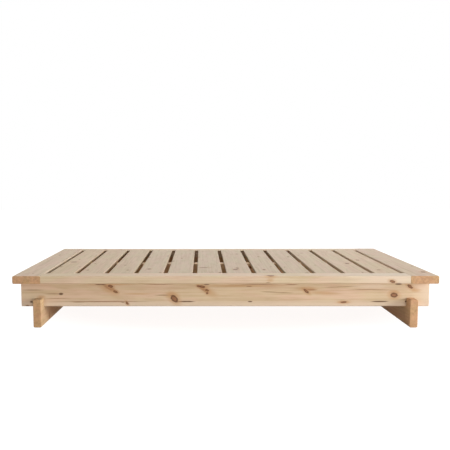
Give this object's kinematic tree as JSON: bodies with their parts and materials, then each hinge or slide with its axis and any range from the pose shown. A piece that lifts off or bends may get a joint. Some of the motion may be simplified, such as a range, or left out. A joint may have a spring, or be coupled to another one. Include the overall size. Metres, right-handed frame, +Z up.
{
  "type": "toddler floor bed",
  "caption": "Low slatted platform bed in planed softwood: flush deck of end planks, edge boards and thin slats on rails halved over two leg boards.",
  "frame": {"origin": "on the floor, under the middle of the deck (bottom centre of the bounding box)", "axes": "+X along the bed's length, -Y towards the front seen in the picture, +Z up"},
  "size_m": [1.6, 0.8, 0.197],
  "materials": {
    "softwood_deck": "planed and sanded spruce, bare",
    "softwood_slat": "planed and sanded spruce, bare",
    "softwood_frame": "planed and sanded spruce, bare",
    "beech_dowel": "turned beech, bare",
    "staple_wire": "galvanised wire",
    "zinc_screw": "bright zinc plate"
  },
  "bodies": {
    "root": {"left_end_plank": "softwood_deck", "right_end_plank": "softwood_deck", "front_edge_board": "softwood_deck", "back_edge_board": "softwood_deck", "slat_01": "softwood_slat", "slat_02": "softwood_slat", "slat_03": "softwood_slat", "slat_04": "softwood_slat", "slat_05": "softwood_slat", "slat_06": "softwood_slat", "slat_07": "softwood_slat", "slat_08": "softwood_slat", "slat_09": "softwood_slat", "slat_10": "softwood_slat", "slat_11": "softwood_slat", "slat_12": "softwood_slat", "front_rail": "softwood_frame", "back_rail": "softwood_frame", "centre_beam": "softwood_frame", "left_leg_board": "softwood_frame", "right_leg_board": "softwood_frame", "rail_dowels": "beech_dowel", "slat_staples": "staple_wire", "leg_screws": "zinc_screw"}
  },
  "joints": []
}
